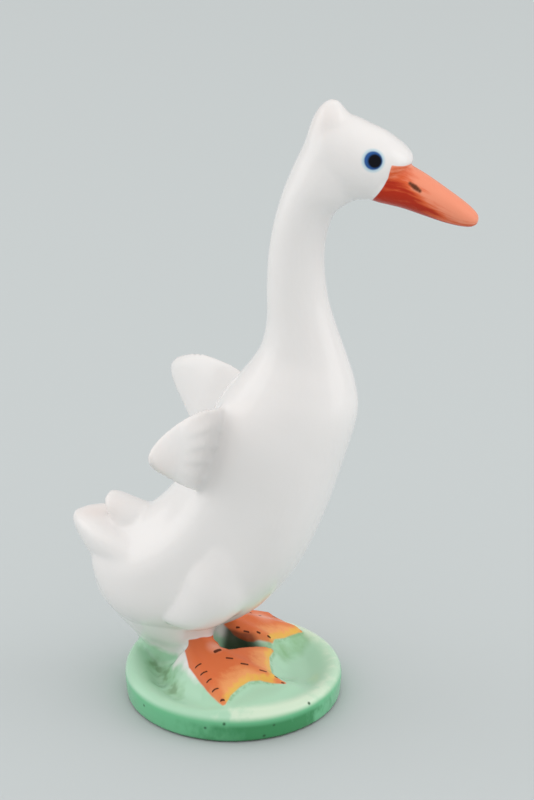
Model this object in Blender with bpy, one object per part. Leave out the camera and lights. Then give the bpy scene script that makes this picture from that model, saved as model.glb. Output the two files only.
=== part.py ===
"""Porcelain duck figurine: one glazed casting of a tall crested bird standing on a round green base.

Metres, +Z up. The bird faces +X, its left side is +Y, and the base stands on Z = 0. Every form below is laid
out in millimetres from the base's centre, and the finished casting is moved so that the origin lies under
the middle of its bounding box.
"""

from math import atan2, cos, degrees, exp, hypot, pi, radians, sin

import bmesh
import bpy
from mathutils import Matrix, Vector

MM = 0.001

# Base
TOE_MARGIN = 3.45           # from the farthest toe tip to the edge of the base
WALL_HEIGHT = 6.2           # of the base's side wall at the front
BACK_RISE = 1.6             # how much higher the wall stands behind the bird on its right
WALL_TAPER = 0.3            # how far the wall leans in towards its foot
RIM_WIDTH = 3.0
DISH_DEPTH = 2.0            # of the green top inside its rim
BASE_SIDES = 56

# Underside
FOOT_RING_WIDTH = 2.6
RECESS_DEPTH = 0.8
VENT_DIAMETER = 4.2
VENT_DEPTH = 9.0

# Feet
HEEL_HEIGHT = 12.8          # of the top of each foot where its leg stands on it
TOE_HEIGHT = 7.0            # of the tops of the toe tips
FOOT_THICKNESS = 2.4
TOE_RIDGE = 0.5             # how far a toe stands out of the web
TOE_BOW = 0.9               # how far the outer toes of a foot bulge sideways
FOOT_SHOW = 0.9             # how far a foot's top stands over the ground at its edge

# Ground
MOUND_REACH = 3.4           # how far beside a foot the ground takes to fall to the dish
VALLEY_DEPTH = 1.5          # of the hollow beside the right foot
VALLEY_REACH = 2.6
PIT_DEPTH = 3.6             # of the hollow between the feet
PIT_REACH = 2.6
APRON_HEIGHT = 7.0          # of the ground that rises to the front edge of the right web
APRON_REACH = 4.5

# Bird
BODY_WIDTH = 27.2
BACK_EDGE = 0.8             # how far the edge between back and flank stands out
BELLY_SWELL = 1.8           # how far the belly swells over the front edges of the thighs
NECK_WIDTH = 11.4
HEAD_WIDTH = 15.6
NECK_AXIS = 14.0            # how far ahead of the base's centre the upright axis of the neck stands
HEAD_TURN = 12.0            # degrees that the neck, wings and head turn to the bird's left
LOFT_SIDES = 28

# Bill
BILL_WIDTH = 11.0

# Tail
TAIL_WIDTH = 22.0
TAIL_CURL = 3.0             # how far the sides of the tail are raised over its middle
CURL_WIDTH = 9.0            # of the curled feather that stands on the tail

# Wings
WING_THICKNESS = 3.6
WING_SPAN = 51.0
FEATHERS = 5
FEATHER_RIDGE = 0.6
WING_OFFSET = 1.2           # how far the right wing is set ahead of the middle, and the left one behind it
WING_SINK = 7.0             # how much deeper the right wing's root is let into the flank

# Legs
THIGH_WIDTH = 15.4
LEG_DIAMETER = 6.8
STUMP_WIDTH = 15.8          # of the support under the rump, across the bird where it comes out of the rump

LEFT = 1.0
RIGHT = -1.0

white = None
orange = None
green = None


def make_glaze(name, color):
    """A glossy coloured glaze."""
    material = bpy.data.materials.new(name)
    material.use_nodes = True
    shader = material.node_tree.nodes["Principled BSDF"]
    shader.inputs["Base Color"].default_value = (*color, 1.0)
    shader.inputs["Roughness"].default_value = 0.15
    material.diffuse_color = (*color, 1.0)
    return material


def smooth_step(value, low, high):
    """Rises softly from 0 at low to 1 at high."""
    share = min(max((value - low) / (high - low), 0.0), 1.0)
    return share * share * (3.0 - 2.0 * share)


def flow(rows, steps):
    """Rows of numbers joined by a smooth curve (Catmull-Rom), with the given steps from row to row."""
    curve = []
    last = len(rows) - 1
    for index in range(last):
        before = rows[max(index - 1, 0)]
        start = rows[index]
        end = rows[index + 1]
        after = rows[min(index + 2, last)]
        for step in range(steps):
            t = step / steps
            curve.append(tuple(
                0.5 * (2.0 * b + (c - a) * t + (2.0 * a - 5.0 * b + 4.0 * c - d) * t * t
                       + (3.0 * b - a - 3.0 * c + d) * t * t * t)
                for a, b, c, d in zip(before, start, end, after)))
    curve.append(tuple(rows[last]))
    return curve


def loft(name, frames, sides, material, bend=None):
    """A skin over elliptical sections, closed at both ends.

    A frame is (centre, across, up): the half-width and half-depth vectors of its section. bend moves a point
    by its place in the section (from -1 to 1 across and up) and the number of the section.
    """
    mesh = bpy.data.meshes.new(name)
    bm = bmesh.new()
    loops = []
    for number, (centre, across, up) in enumerate(frames):
        ring = bmesh.ops.create_circle(bm, segments=sides, radius=1.0)["verts"]
        for vertex in ring:
            u, v = vertex.co.x, vertex.co.y
            place = centre + across * u + up * v
            if bend:
                place = bend(place, u, v, number)
            vertex.co = place * MM
        loops.append(list(dict.fromkeys(edge for vertex in ring for edge in vertex.link_edges)))
    for near, far in zip(loops, loops[1:]):
        bmesh.ops.bridge_loops(bm, edges=near + far)
    for end in (loops[0], loops[-1]):
        bmesh.ops.edgeloop_fill(bm, edges=end)
    bmesh.ops.recalc_face_normals(bm, faces=bm.faces)
    bm.to_mesh(mesh)
    bm.free()
    mesh.materials.append(material)
    part = bpy.data.objects.new(name, mesh)
    bpy.context.scene.collection.objects.link(part)
    return part


def turned(ahead, aside, height, turn):
    """A place given ahead of the neck's axis and aside of it, on a figure turned about that axis."""
    angle = radians(turn)
    return Vector((NECK_AXIS + ahead * cos(angle) - aside * sin(angle),
                   ahead * sin(angle) + aside * cos(angle), height))


# Feet: the middle of the heel, where each toe leaves the heel and where it ends, and for each web between two
# toes how far it stops short of them, as a share of their length.

FEET = {
    "right_foot": {"heel": (-5.6, -3.9),
                   "toes": (((-8.2, -6.4), (4.2, -18.7)), ((-5.0, -5.4), (13.3, -6.5)),
                            ((-1.6, -3.4), (7.0, 5.0))),
                   "notches": (0.26, 0.20)},
    "left_foot": {"heel": (-4.2, 9.0),
                  "toes": (((-4.6, 6.9), (6.1, 7.3)), ((-3.6, 9.6), (9.6, 17.4)), ((-5.2, 11.8), (1.5, 19.2))),
                  "notches": (0.16, 0.06)},
}
# Hollows of the ground, as lines along their bottoms, and the outline of the apron
VALLEY = ((-20.6, 0.4), (-17.0, -4.4), (-13.0, -10.0))
PIT = ((-1.8, 1.2), (0.8, 2.8))
APRON = ((4.0, -14.0), (5.2, -18.6), (9.0, -16.0), (12.5, -11.6), (13.6, -6.4), (9.0, -8.4))

FAN_STEPS = 7               # of a foot's fan from toe to toe
FAN_STATIONS = 7            # of it from heel to toe tips
EVEN = 8.0                  # how sharply the highest of several mounds wins over the others


def toe_tips(foot):
    """The ground positions of a foot's toe tips."""
    return [tip for _, tip in foot["toes"]]


def fan_point(foot, column, share):
    """A place on the fan of a foot, and how far it lies between two toes (0 on a toe, 1 midway).

    The column counts from the right toe to the left one, and the share runs from the heel to the web's edge.
    """
    web = min(column // FAN_STEPS, len(foot["notches"]) - 1)
    along = column / FAN_STEPS - web
    (root, tip), (next_root, next_tip) = foot["toes"][web], foot["toes"][web + 1]
    between = sin(pi * along)
    reach = share * (1.0 - foot["notches"][web] * max(between, 0.0) ** 0.6)
    start = [a + (b - a) * along for a, b in zip(root, next_root)]
    end = [a + (b - a) * along for a, b in zip(tip, next_tip)]
    run = [b - a for a, b in zip(start, end)]
    outer = max(0.0, 1.0 - min(column, FAN_STEPS * len(foot["notches"]) - column) / 2.0)
    bow = TOE_BOW * outer * sin(pi * share) * (1.0 if column < FAN_STEPS else -1.0) / hypot(*run)
    return start[0] + run[0] * reach + run[1] * bow, start[1] + run[1] * reach - run[0] * bow, between


def foot_outline(foot):
    """The outline of a foot's fan, anticlockwise."""
    last = FAN_STEPS * len(foot["notches"])
    right_side = [fan_point(foot, 0, station / FAN_STATIONS) for station in range(FAN_STATIONS)]
    front = [fan_point(foot, column, 1.0) for column in range(last + 1)]
    left_side = [fan_point(foot, last, station / FAN_STATIONS) for station in range(FAN_STATIONS - 1, -1, -1)]
    return [(x, y) for x, y, _ in right_side + front + left_side]


def foot_slope(x, y, foot):
    """The height of a foot's top without its ridges, which falls from the heel to the toe tips."""
    longest = max(hypot(tip[0] - foot["heel"][0], tip[1] - foot["heel"][1]) for tip in toe_tips(foot))
    reach = hypot(x - foot["heel"][0], y - foot["heel"][1]) / longest
    return HEEL_HEIGHT + (TOE_HEIGHT - HEEL_HEIGHT) * min(reach, 1.1) ** 1.15


def base_radius():
    """The base reaches a margin past the farthest toe."""
    return TOE_MARGIN + max(hypot(*tip) for foot in FEET.values() for tip in toe_tips(foot))


def wall_top(angle):
    """The height of the base's rim, which rises behind the bird on its right."""
    return WALL_HEIGHT + BACK_RISE * max(0.0, cos(angle - radians(165.0))) ** 2


def gap_to_line(x, y, corners):
    """The distance from a place to a line through the corners."""
    gaps = []
    for (ax, ay), (bx, by) in zip(corners, corners[1:]):
        run_x, run_y = bx - ax, by - ay
        along = ((x - ax) * run_x + (y - ay) * run_y) / (run_x ** 2 + run_y ** 2)
        along = min(max(along, 0.0), 1.0)
        gaps.append(hypot(x - ax - along * run_x, y - ay - along * run_y))
    return min(gaps)


def outside(x, y, corners):
    """How far a place lies outside a closed outline."""
    closed = list(corners) + [corners[0]]
    inside = False
    for (ax, ay), (bx, by) in zip(closed, closed[1:]):
        if (ay > y) != (by > y) and x < ax + (bx - ax) * (y - ay) / (by - ay):
            inside = not inside
    return 0.0 if inside else gap_to_line(x, y, closed)


def ground(x, y, outlines):
    """The height of the modelled ground in the rim: a dish with two hollows, and a soft mound under each foot."""
    radius = base_radius()
    sunk = 1.0 - smooth_step(hypot(x, y), radius - 2.6 * RIM_WIDTH, radius - 0.6 * RIM_WIDTH)
    dish = wall_top(atan2(y, x)) - DISH_DEPTH * sunk
    dish -= VALLEY_DEPTH * sunk * exp(-(gap_to_line(x, y, VALLEY) / VALLEY_REACH) ** 2)
    lifts = [max(0.0, APRON_HEIGHT - dish) * exp(-(outside(x, y, APRON) / APRON_REACH) ** 2)]
    for name, foot in FEET.items():
        beside = outside(x, y, outlines[name])
        lifts.append(max(0.0, foot_slope(x, y, foot) - FOOT_SHOW - dish) * exp(-(beside / MOUND_REACH) ** 2))
    lift = sum(value ** EVEN for value in lifts) ** (1.0 / EVEN)
    pit = PIT_DEPTH * exp(-(gap_to_line(x, y, PIT) / PIT_REACH) ** 2)
    return dish + lift - min(pit, 0.8 * lift)


def build_base():
    """The round base: a wall that leans in towards its foot, a soft rim and the modelled ground."""
    radius = base_radius()
    mesh = bpy.data.meshes.new("base")
    bm = bmesh.new()
    inner_rings = 15
    outlines = {name: foot_outline(foot) for name, foot in FEET.items()}
    rows = [(radius - WALL_TAPER, 0.0), (radius - 0.35 * WALL_TAPER, 0.35), (radius, 0.70), (radius - 0.7, 0.94),
            (radius - 0.45 * RIM_WIDTH, 0.99)]
    rows += [((radius - 0.6 * RIM_WIDTH) * (1.0 - step / inner_rings), None) for step in range(inner_rings)]
    loops = []
    for reach, share in rows:
        ring = bmesh.ops.create_circle(bm, segments=BASE_SIDES, radius=reach)["verts"]
        for vertex in ring:
            x, y = vertex.co.x, vertex.co.y
            height = ground(x, y, outlines) if share is None else share * wall_top(atan2(y, x))
            vertex.co = Vector((x, y, height)) * MM
        loops.append(list(dict.fromkeys(edge for vertex in ring for edge in vertex.link_edges)))
    for near, far in zip(loops, loops[1:]):
        bmesh.ops.bridge_loops(bm, edges=near + far)
    bmesh.ops.edgeloop_fill(bm, edges=loops[0])
    bmesh.ops.edgeloop_fill(bm, edges=loops[-1])
    bmesh.ops.recalc_face_normals(bm, faces=bm.faces)
    bm.to_mesh(mesh)
    bm.free()
    mesh.materials.append(green)
    base = bpy.data.objects.new("base", mesh)
    bpy.context.scene.collection.objects.link(base)
    return base


def build_foot(name, foot):
    """A webbed foot: a fan from heel to toe tips, with ridges for toes and a web that stops short between them."""
    columns = FAN_STEPS * len(foot["notches"]) + 1
    mesh = bpy.data.meshes.new(name)
    bm = bmesh.new()
    top = []
    for station in range(FAN_STATIONS + 1):
        share = station / FAN_STATIONS
        row = []
        for column in range(columns):
            x, y, between = fan_point(foot, column, share)
            ridge = TOE_RIDGE * (1.0 - 2.0 * max(between, 0.0) ** 0.7) * sin(pi * (0.1 + 0.75 * share))
            row.append(bm.verts.new(Vector((x, y, foot_slope(x, y, foot) + ridge)) * MM))
        top.append(row)
    faces = []
    for row, next_row in zip(top, top[1:]):
        for index in range(len(row) - 1):
            faces.append(bm.faces.new((row[index], next_row[index], next_row[index + 1], row[index + 1])))
    sole = bmesh.ops.extrude_face_region(bm, geom=faces)
    for item in sole["geom"]:
        if isinstance(item, bmesh.types.BMVert):
            item.co.z -= FOOT_THICKNESS * MM
    bmesh.ops.recalc_face_normals(bm, faces=bm.faces)
    bm.to_mesh(mesh)
    bm.free()
    mesh.materials.append(orange)
    part = bpy.data.objects.new(name, mesh)
    bpy.context.scene.collection.objects.link(part)
    return part


def build_body():
    """Rump, body, neck, nape and crest as one skin over sections across the bird's spine.

    Each row gives the back point and the breast point of a section (ahead of the neck's axis, and up), its
    half-width, its turn as a share of the head's, and how much it shows of the edge between back and flank.
    """
    body = BODY_WIDTH / 2.0
    neck = NECK_WIDTH / 2.0
    head = HEAD_WIDTH / 2.0
    rows = (
        (-45.0, 31.0, -45.4, 28.0, 0.14 * body, 0.0, 0.0),
        (-43.2, 34.8, -43.0, 21.8, 0.48 * body, 0.0, 0.0),
        (-38.8, 38.2, -38.4, 15.4, 0.72 * body, 0.0, 0.2),
        (-33.4, 40.6, -31.0, 13.2, 0.89 * body, 0.0, 0.7),
        (-27.4, 46.6, -20.0, 14.6, 0.97 * body, 0.0, 1.0),
        (-23.6, 53.0, -9.4, 20.2, 1.00 * body, 0.0, 1.0),
        (-20.6, 59.4, -0.6, 30.6, 0.99 * body, 0.1, 0.7),
        (-18.0, 65.0, 5.2, 43.0, 1.05 * body, 0.3, 0.3),
        (-15.3, 70.0, 9.4, 56.0, 1.06 * body, 0.55, 0.0),
        (-12.1, 74.2, 12.3, 67.0, 0.95 * body, 0.8, 0.0),
        (-9.3, 78.0, 11.7, 73.6, 0.80 * body, 0.95, 0.0),
        (-7.3, 81.6, 9.8, 80.0, 0.63 * body, 1.0, 0.0),
        (-6.2, 87.0, 7.6, 86.4, 1.26 * neck, 1.0, 0.0),
        (-6.2, 93.4, 6.0, 92.6, 1.10 * neck, 1.0, 0.0),
        (-5.9, 100.6, 5.3, 99.8, 1.00 * neck, 1.0, 0.0),
        (-4.9, 107.2, 5.9, 106.0, 1.00 * neck, 1.0, 0.0),
        (-3.2, 113.6, 7.8, 110.6, 0.80 * head, 1.0, 0.0),
        (-1.0, 119.4, 12.0, 114.0, 0.95 * head, 1.0, 0.0),
        (1.2, 124.4, 14.0, 119.6, 0.92 * head, 1.0, 0.0),
        (2.7, 128.0, 12.0, 125.4, 0.70 * head, 1.0, 0.0),
        (4.2, 131.2, 9.7, 130.3, 0.42 * head, 1.0, 0.0),
        (5.9, 133.2, 7.7, 133.0, 0.14 * head, 1.0, 0.0),
    )
    steps = 2
    path = flow(rows, steps)
    frames = []
    for back_s, back_z, front_s, front_z, half_width, turn, _ in path:
        angle = HEAD_TURN * turn
        back = turned(back_s, 0.0, back_z, angle)
        front = turned(front_s, 0.0, front_z, angle)
        side = turned(back_s, 1.0, back_z, angle) - back
        frames.append(((back + front) / 2.0, side * half_width, (front - back) / 2.0))

    def back_edge(place, u, v, number):
        """A soft edge a little behind the flank's widest line, with a flatter stretch between it and the spine."""
        centre = frames[number][0]
        angle = degrees(atan2(v, abs(u)))
        swell = exp(-((angle + 20.0) / 15.0) ** 2) - exp(-((angle + 54.0) / 17.0) ** 2)
        belly = exp(-((angle - 38.0) / 24.0) ** 2 - ((number / steps - 6.0) / 1.6) ** 2)
        stand_out = BACK_EDGE * path[number][6] * swell + BELLY_SWELL * belly
        return place + (place - centre).normalized() * stand_out

    return loft("body", frames, LOFT_SIDES, white, back_edge)


def build_head():
    """The head, from the nape to the brow over the bill: rows of ahead, top, bottom and half-width."""
    head = HEAD_WIDTH / 2.0
    rows = (
        (2.0, 124.6, 117.0, 0.40 * head),
        (5.0, 130.2, 114.2, 0.86 * head),
        (10.0, 130.0, 113.2, 1.00 * head),
        (14.4, 128.1, 113.6, 0.97 * head),
        (17.0, 126.9, 115.4, 0.86 * head),
        (19.4, 125.2, 118.4, 0.70 * head),
        (21.2, 123.7, 120.0, 0.48 * head),
        (22.4, 122.3, 121.0, 0.18 * head),
    )
    frames = []
    for ahead, top, bottom, half_width in flow(rows, 2):
        centre = turned(ahead, 0.0, (top + bottom) / 2.0, HEAD_TURN)
        side = turned(ahead, 1.0, 0.0, HEAD_TURN) - turned(ahead, 0.0, 0.0, HEAD_TURN)
        frames.append((centre, side * half_width, Vector((0.0, 0.0, (top - bottom) / 2.0))))
    return loft("head", frames, LOFT_SIDES, white)


def build_bill():
    """The long bill, which slopes down to a rounded tip: rows of ahead, top, bottom and half-width."""
    bill = BILL_WIDTH / 2.0
    rows = (
        (12.0, 119.5, 114.2, 0.80 * bill),
        (15.5, 121.0, 113.0, 1.08 * bill),
        (18.0, 121.1, 112.4, 1.06 * bill),
        (21.0, 120.5, 111.6, 0.95 * bill),
        (25.0, 118.4, 110.2, 0.80 * bill),
        (29.0, 115.7, 108.9, 0.67 * bill),
        (32.6, 113.1, 108.2, 0.56 * bill),
        (34.7, 111.3, 108.3, 0.36 * bill),
        (35.5, 110.3, 109.2, 0.12 * bill),
    )
    frames = []
    for ahead, top, bottom, half_width in flow(rows, 2):
        centre = turned(ahead, 0.0, (top + bottom) / 2.0, HEAD_TURN)
        side = turned(ahead, 1.0, 0.0, HEAD_TURN) - turned(ahead, 0.0, 0.0, HEAD_TURN)
        frames.append((centre, side * half_width, Vector((0.0, 0.0, (top - bottom) / 2.0))))
    return loft("bill", frames, 20, orange)


def build_tail():
    """The upturned tail: a thick blade, hollowed on top because its sides are curled up.

    Rows of x, height, half-width, half-thickness and curl.
    """
    tail = TAIL_WIDTH / 2.0
    rows = (
        (-12.0, 33.0, 0.98 * tail, 8.0, 0.2),
        (-18.0, 30.8, 1.00 * tail, 7.0, 0.7),
        (-24.0, 31.4, 0.88 * tail, 6.6, 1.0),
        (-29.4, 33.0, 0.66 * tail, 5.6, 0.9),
        (-33.4, 34.8, 0.38 * tail, 3.5, 0.5),
        (-35.6, 36.0, 0.12 * tail, 1.3, 0.0),
    )
    path = flow(rows, 2)

    def curl(place, u, v, number):
        return place + Vector((0.0, 0.0, TAIL_CURL * path[number][4] * (u * u - 0.35)))

    frames = [(Vector((x, 0.0, z)), Vector((0.0, width, 0.0)), Vector((0.0, 0.0, thickness)))
              for x, z, width, thickness, _ in path]
    return loft("tail", frames, 24, white, curl)


def build_tail_curl():
    """The curled feather that stands on the tail: rows of x, height, half-width and half-thickness."""
    width = CURL_WIDTH / 2.0
    rows = (
        (-13.0, 35.0, 1.1 * width, 4.0),
        (-19.0, 37.0, 1.1 * width, 3.8),
        (-23.6, 38.8, 1.0 * width, 3.2),
        (-26.6, 40.7, 0.80 * width, 2.2),
        (-27.9, 42.1, 0.36 * width, 1.0),
    )
    frames = [(Vector((x, 0.0, z)), Vector((0.0, across, 0.0)), Vector((0.45, 0.0, 0.9)) * thickness)
              for x, z, across, thickness in flow(rows, 2)]
    return loft("tail_curl", frames, 20, white)


def build_wing(name, side, ahead, higher):
    """A small wing held out and back: a thick plate from root to tip. The two wings are set a little unevenly.

    Each row gives the leading and trailing point of a section (ahead of the neck's axis, aside as a share of
    the wing's reach, and up) and its thickness as a share of the wing's.
    """
    reach = WING_SPAN / 2.0
    rows = (
        (-6.5, 0.22, 69.0, -13.0, 0.22, 49.0, 1.10),
        (-11.5, 0.40, 71.6, -17.6, 0.42, 51.0, 1.10),
        (-16.3, 0.53, 72.6, -20.6, 0.56, 54.0, 1.05),
        (-20.2, 0.67, 72.2, -22.8, 0.69, 56.8, 0.95),
        (-23.6, 0.80, 70.8, -25.0, 0.81, 59.8, 0.85),
        (-26.4, 0.92, 68.8, -26.8, 0.92, 62.4, 0.70),
        (-27.9, 1.00, 66.6, -27.8, 1.00, 64.8, 0.35),
    )
    outward = turned(-0.55, side * 0.8, 0.0, HEAD_TURN) - turned(0.0, 0.0, 0.0, HEAD_TURN)
    inward = Vector((-0.28, 0.87, -0.40)) if side == RIGHT else Vector((0.0, 0.0, 0.0))
    steps = 2
    frames = []
    for lead_s, lead_a, lead_z, trail_s, trail_a, trail_z, thickness in flow(rows, steps):
        sink = inward * WING_SINK * (1.0 - smooth_step(lead_a, 0.40, 0.75))
        lead = turned(lead_s + ahead, side * lead_a * reach, lead_z + higher, HEAD_TURN) + sink
        trail = turned(trail_s + ahead, side * trail_a * reach, trail_z + higher, HEAD_TURN) + sink
        chord = (lead - trail) / 2.0
        normal = chord.cross(outward).normalized()
        frames.append(((lead + trail) / 2.0, chord, normal * thickness * WING_THICKNESS / 2.0))

    def feather(place, u, v, number):
        """Grooves between the feathers on the outer face, deepest near the root."""
        fade = max(0.0, 1.0 - abs(number / steps - 2.2) / 1.5)
        wave = 0.5 - 0.5 * cos(pi * FEATHERS * (u + 1.0))
        depth = FEATHER_RIDGE * fade * wave * v if side * v < 0.0 else 0.0
        return place - frames[number][2].normalized() * depth

    return loft(name, frames, 40, white, feather)


def build_thigh(name, side):
    """A thigh: a lobe that rises out of the body's side, down to the pointed hock. Rows of x, aside, up, radius."""
    half = THIGH_WIDTH / 2.0
    rows = (
        (-12.3, 9.4, 20.0, 0.09 * half),
        (-10.2, 9.7, 21.2, 0.32 * half),
        (-4.8, 9.8, 23.8, 0.64 * half),
        (0.5, 9.2, 28.4, 0.92 * half),
        (3.6, 8.0, 34.0, 0.86 * half),
        (4.6, 7.6, 40.0, 0.58 * half),
        (5.0, 6.4, 45.0, 0.24 * half),
    )
    path = flow(rows, 2)
    frames = []
    for index, (x, aside, z, radius) in enumerate(path):
        before = path[max(index - 1, 0)]
        after = path[min(index + 1, len(path) - 1)]
        along = Vector((after[0] - before[0], side * (after[1] - before[1]), after[2] - before[2])).normalized()
        across = along.cross(Vector((0.0, 0.0, 1.0))).normalized()
        up = across.cross(along)
        frames.append((Vector((x, side * aside, z)), across * radius * 0.95, up * radius * 1.15))
    return loft(name, frames, 20, white)


def build_pillar(name, rows, sides):
    """An upright form over ellipses: rows of x, y, height, half-length, half-width and turn in degrees."""
    frames = []
    for x, y, z, long_half, wide_half, turn in flow(rows, 2):
        along = Vector((cos(radians(turn)), sin(radians(turn)), 0.0))
        across = Vector((-sin(radians(turn)), cos(radians(turn)), 0.0))
        frames.append((Vector((x, y, z)), along * long_half, across * wide_half))
    return loft(name, frames, sides, white)


def build_right_leg():
    """The short right leg, from the belly down to the heel."""
    radius = LEG_DIAMETER / 2.0
    return build_pillar("right_leg", (
        (-7.0, -2.6, 22.0, 1.9 * radius, 1.55 * radius, 0.0),
        (-7.4, -2.2, 17.0, 1.55 * radius, 1.3 * radius, 0.0),
        (-7.7, -1.8, 13.4, 1.1 * radius, radius, 0.0),
        (-8.0, -1.6, 9.0, 1.1 * radius, radius, 0.0),
        (-8.3, -1.4, 4.0, 1.35 * radius, 1.2 * radius, 0.0),
    ), 16)


def build_left_leg():
    """The short left leg, set a little ahead of the right one."""
    radius = LEG_DIAMETER / 2.0
    return build_pillar("left_leg", (
        (-4.0, 9.0, 20.0, 1.35 * radius, 1.2 * radius, 0.0),
        (-4.8, 9.2, 15.0, 1.05 * radius, 0.9 * radius, 0.0),
        (-5.6, 9.4, 11.0, 1.05 * radius, 0.95 * radius, 0.0),
        (-6.0, 9.4, 6.0, 1.3 * radius, 1.2 * radius, 0.0),
    ), 16)


def build_stump():
    """The broad support that runs on from the rump down to the base, turned towards the right foot."""
    half = STUMP_WIDTH / 2.0
    return build_pillar("stump", (
        (-16.5, 0.4, 27.0, 15.0, 1.52 * half, -8.0),
        (-16.6, 0.6, 21.5, 14.3, 1.44 * half, -10.0),
        (-16.2, 1.0, 16.5, 12.5, 1.14 * half, -15.0),
        (-15.7, 1.6, 12.5, 10.4, 0.89 * half, -20.0),
        (-15.4, 1.8, 9.0, 7.9, 0.59 * half, -16.0),
        (-14.6, 2.0, 5.5, 6.8, 0.59 * half, -16.0),
        (-14.4, 2.2, 2.5, 6.6, 0.66 * half, -16.0),
    ), 28)


def build_cutter(name, radius, depth, sides):
    """A round cutter that reaches a given depth into the base, and as far below it again."""
    bm = bmesh.new()
    bmesh.ops.create_cone(bm, cap_ends=True, segments=sides, radius1=radius * MM, radius2=radius * MM,
                          depth=2.0 * depth * MM)
    mesh = bpy.data.meshes.new(name)
    bm.to_mesh(mesh)
    bm.free()
    cutter = bpy.data.objects.new(name, mesh)
    bpy.context.scene.collection.objects.link(cutter)
    cutter.hide_render = True
    cutter.display_type = 'WIRE'
    return cutter


def combine(figure, tool, operation):
    """Joins or cuts the figure with another closed shape, which is then removed."""
    modifier = figure.modifiers.new(operation.title(), 'BOOLEAN')
    modifier.operation = operation
    modifier.solver = 'EXACT'
    modifier.material_mode = 'TRANSFER'
    modifier.object = tool
    depsgraph = bpy.context.evaluated_depsgraph_get()
    joined = bpy.data.meshes.new_from_object(figure.evaluated_get(depsgraph))
    figure.modifiers.clear()
    figure.data = joined
    bpy.data.objects.remove(tool)


def fill_pockets(figure):
    """Keeps the outer skin alone: the casting is solid wherever the joined forms closed in a pocket."""
    bm = bmesh.new()
    bm.from_mesh(figure.data)
    bm.verts.ensure_lookup_table()
    shells = []
    unseen = set(bm.verts)
    while unseen:
        shell = {unseen.pop()}
        edge_of_shell = list(shell)
        while edge_of_shell:
            for edge in edge_of_shell.pop().link_edges:
                for vertex in edge.verts:
                    if vertex in unseen:
                        unseen.discard(vertex)
                        shell.add(vertex)
                        edge_of_shell.append(vertex)
        shells.append(shell)
    shells.sort(key=len)
    pockets = [vertex for shell in shells[:-1] for vertex in shell]
    bmesh.ops.delete(bm, geom=pockets, context='VERTS')
    bm.to_mesh(figure.data)
    bm.free()


def stand_on_origin(figure):
    """Moves the mesh so that the origin lies under the middle of its box."""
    corners = [vertex.co for vertex in figure.data.vertices]
    middle_x = (min(c.x for c in corners) + max(c.x for c in corners)) / 2.0
    middle_y = (min(c.y for c in corners) + max(c.y for c in corners)) / 2.0
    lowest = min(c.z for c in corners)
    figure.data.transform(Matrix.Translation((-middle_x, -middle_y, -lowest)))


for existing in list(bpy.data.objects):
    bpy.data.objects.remove(existing)

white = make_glaze("white_glaze", (0.86, 0.85, 0.83))
orange = make_glaze("orange_paint", (0.80, 0.16, 0.04))
green = make_glaze("green_paint", (0.24, 0.55, 0.36))

figure = build_body()
figure.name = "duck_figurine"
for piece in (build_head(), build_bill(), build_tail(), build_tail_curl(),
              build_wing("left_wing", LEFT, -WING_OFFSET, -WING_OFFSET / 2.0),
              build_wing("right_wing", RIGHT, WING_OFFSET, WING_OFFSET / 2.0),
              build_thigh("left_thigh", LEFT), build_thigh("right_thigh", RIGHT),
              build_left_leg(), build_right_leg(), build_stump(), build_base(),
              build_foot("left_foot", FEET["left_foot"]), build_foot("right_foot", FEET["right_foot"])):
    combine(figure, piece, 'UNION')
fill_pockets(figure)
recess_radius = base_radius() - WALL_TAPER - FOOT_RING_WIDTH
combine(figure, build_cutter("recess", recess_radius, RECESS_DEPTH, BASE_SIDES), 'DIFFERENCE')
combine(figure, build_cutter("vent", VENT_DIAMETER / 2.0, VENT_DEPTH, 24), 'DIFFERENCE')
stand_on_origin(figure)
figure.data.shade_smooth()
figure.data.set_sharp_from_angle(angle=radians(40.0))
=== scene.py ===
"""Looks of a glazed porcelain duck figurine: one casting, painted in orange, green and blue.

Forms are laid out in millimetres from the middle of the base. The bird faces +X and its left side is +Y.
"""
from math import atan2, cos, degrees, exp, hypot, pi, radians, sin

import bmesh
import bpy
import numpy as np
from mathutils import Matrix, Vector


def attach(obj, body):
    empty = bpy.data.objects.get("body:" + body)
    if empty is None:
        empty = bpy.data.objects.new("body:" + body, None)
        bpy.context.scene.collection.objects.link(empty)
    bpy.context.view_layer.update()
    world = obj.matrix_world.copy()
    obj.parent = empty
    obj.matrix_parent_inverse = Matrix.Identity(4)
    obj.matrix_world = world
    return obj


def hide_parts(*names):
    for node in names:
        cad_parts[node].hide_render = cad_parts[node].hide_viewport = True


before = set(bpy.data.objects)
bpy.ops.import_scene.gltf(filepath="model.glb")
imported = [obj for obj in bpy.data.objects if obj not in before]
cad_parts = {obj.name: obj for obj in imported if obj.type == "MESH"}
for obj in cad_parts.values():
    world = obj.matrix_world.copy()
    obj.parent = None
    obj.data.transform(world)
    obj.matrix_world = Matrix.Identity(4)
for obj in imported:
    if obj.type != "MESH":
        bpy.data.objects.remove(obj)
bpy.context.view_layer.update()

# Body, neck and crest
# The hollow clay casting that the mould gives, as one skin over sections across the bird's spine.
# The neck, wings and head turn together about the neck's upright axis.

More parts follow.
